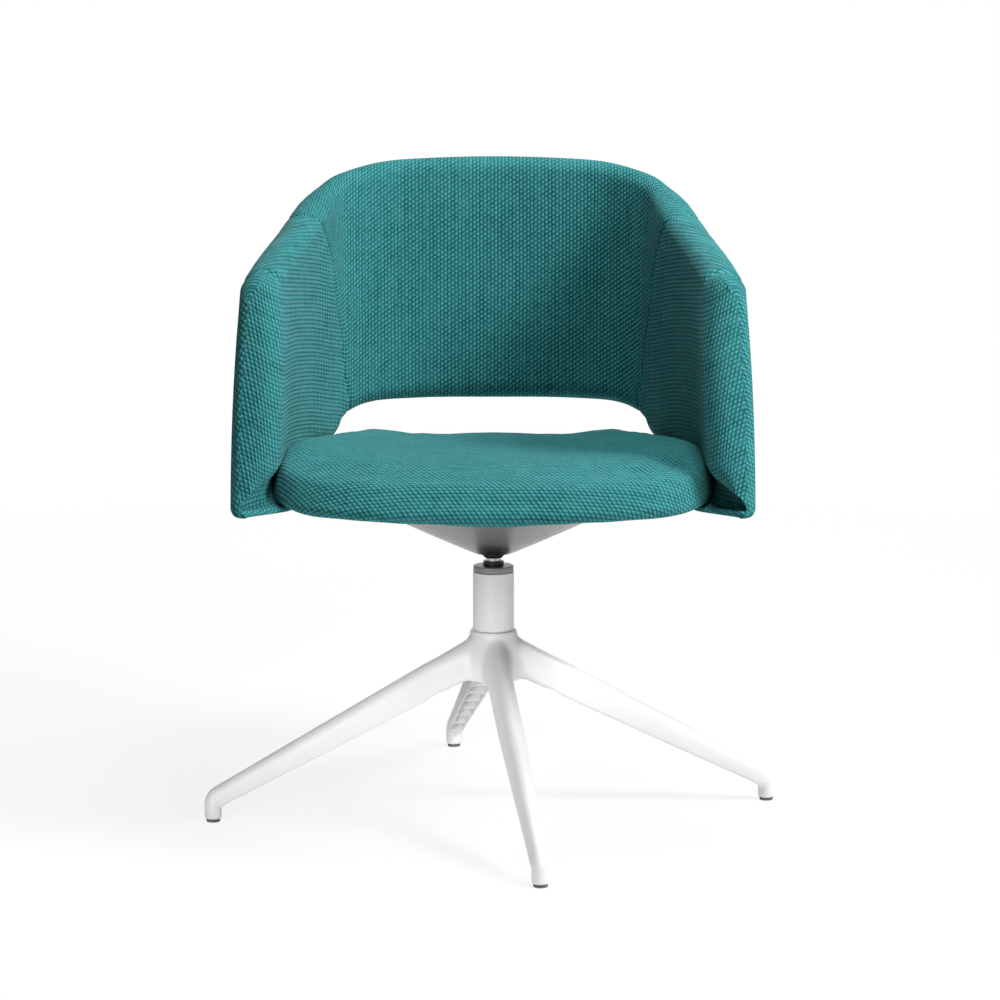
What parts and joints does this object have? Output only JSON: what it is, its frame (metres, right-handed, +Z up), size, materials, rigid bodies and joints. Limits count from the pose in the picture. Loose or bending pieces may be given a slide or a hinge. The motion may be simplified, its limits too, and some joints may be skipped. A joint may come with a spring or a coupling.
{
  "type": "pedestal swivel armchair",
  "caption": "Upholstered tub armchair with a wrap-round shell and crowned seat, turning on a spindle in a fixed column on a star base.",
  "frame": {"origin": "on the floor, on the swivel axis, at the middle of the foot circle", "axes": "+Z up along the swivel axis, the chair faces -Y, +X to the right in the front view"},
  "size_m": [0.7024, 0.7024, 0.79],
  "materials": {
    "white_powder_coat": "satin powder coat on cast aluminium and steel tube",
    "grey_plastic": "satin moulded plastic",
    "black_plastic": "satin moulded plastic",
    "moulded_plastic": "matt injection-moulded shell",
    "black_steel": "black phosphated steel",
    "bright_steel": "zinc plated or ground steel",
    "satin_aluminium": "spun, satin",
    "plywood": "birch plywood, bare",
    "foam": "moulded polyurethane foam",
    "teal_weave": "coarse basket weave upholstery wool"
  },
  "bodies": {
    "base": {"star_base": "white_powder_coat", "glide_1": "grey_plastic", "glide_2": "grey_plastic", "glide_3": "grey_plastic", "glide_4": "grey_plastic", "column_tube": "white_powder_coat", "column_foot_plate": "black_steel", "column_cap": "grey_plastic", "upper_bush": "black_plastic", "lower_bush": "black_plastic", "bearing_lower_race": "bright_steel"},
    "ball_cage": {"bearing_ball_cage": "bright_steel"},
    "seat": {"bearing_upper_race": "bright_steel", "spindle": "bright_steel", "spindle_washer": "bright_steel", "retaining_ring": "black_steel", "swivel_plate": "black_steel", "cone_cover": "satin_aluminium", "cover_screw_1": "bright_steel", "cover_screw_2": "bright_steel", "cover_screw_3": "bright_steel", "plate_bolt_1": "bright_steel", "plate_bolt_2": "bright_steel", "plate_bolt_3": "bright_steel", "plate_bolt_4": "bright_steel", "plate_nut_1": "bright_steel", "plate_nut_2": "bright_steel", "plate_nut_3": "bright_steel", "plate_nut_4": "bright_steel", "seat_board": "plywood", "seat_foam": "foam", "seat_cover": "teal_weave", "shell_frame": "moulded_plastic", "shell_foam": "foam", "shell_cover": "teal_weave", "shell_screw_1": "bright_steel", "shell_screw_2": "bright_steel", "shell_screw_3": "bright_steel", "shell_screw_4": "bright_steel", "shell_screw_5": "bright_steel", "shell_screw_6": "bright_steel"}
  },
  "joints": [
    {"name": "seat_swivel", "type": "hinge", "parent": "base", "child": "seat", "pos_m": [0, 0, 0.3], "axis": [0, 0, 1], "continuous": true},
    {"name": "cage_roll", "type": "hinge", "parent": "base", "child": "ball_cage", "pos_m": [0, 0, 0.186], "axis": [0, 0, 1], "continuous": true}
  ],
  "couplings": [
    {"joint": "cage_roll", "follows": "seat_swivel", "ratio": 0.5}
  ]
}
